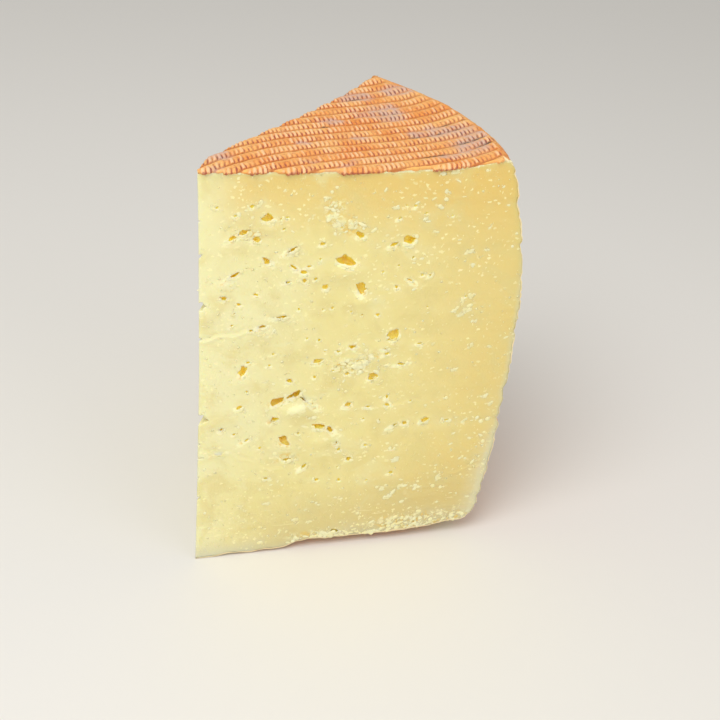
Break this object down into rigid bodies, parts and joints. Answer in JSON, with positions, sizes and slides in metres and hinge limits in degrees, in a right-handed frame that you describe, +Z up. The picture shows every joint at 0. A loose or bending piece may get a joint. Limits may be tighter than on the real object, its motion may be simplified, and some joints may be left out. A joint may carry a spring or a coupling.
{
  "type": "cheese wedge",
  "caption": "Tall wedge of hard cheese cut from a small wheel, with a woven-pressed orange rind and small eyes, standing on its base to be served or stored.",
  "frame": {"origin": "on the base plane, under the middle of the wedge's bounding box", "axes": "+Z up through the height of the wheel; +X along the front cut from the tip to the side rind; the front cut looks along -Y"},
  "size_m": [0.0792, 0.0658, 0.1065],
  "materials": {
    "paste": "satin",
    "rind": "matte"
  },
  "bodies": {
    "root": {"cheese_wedge": "paste"}
  },
  "joints": []
}
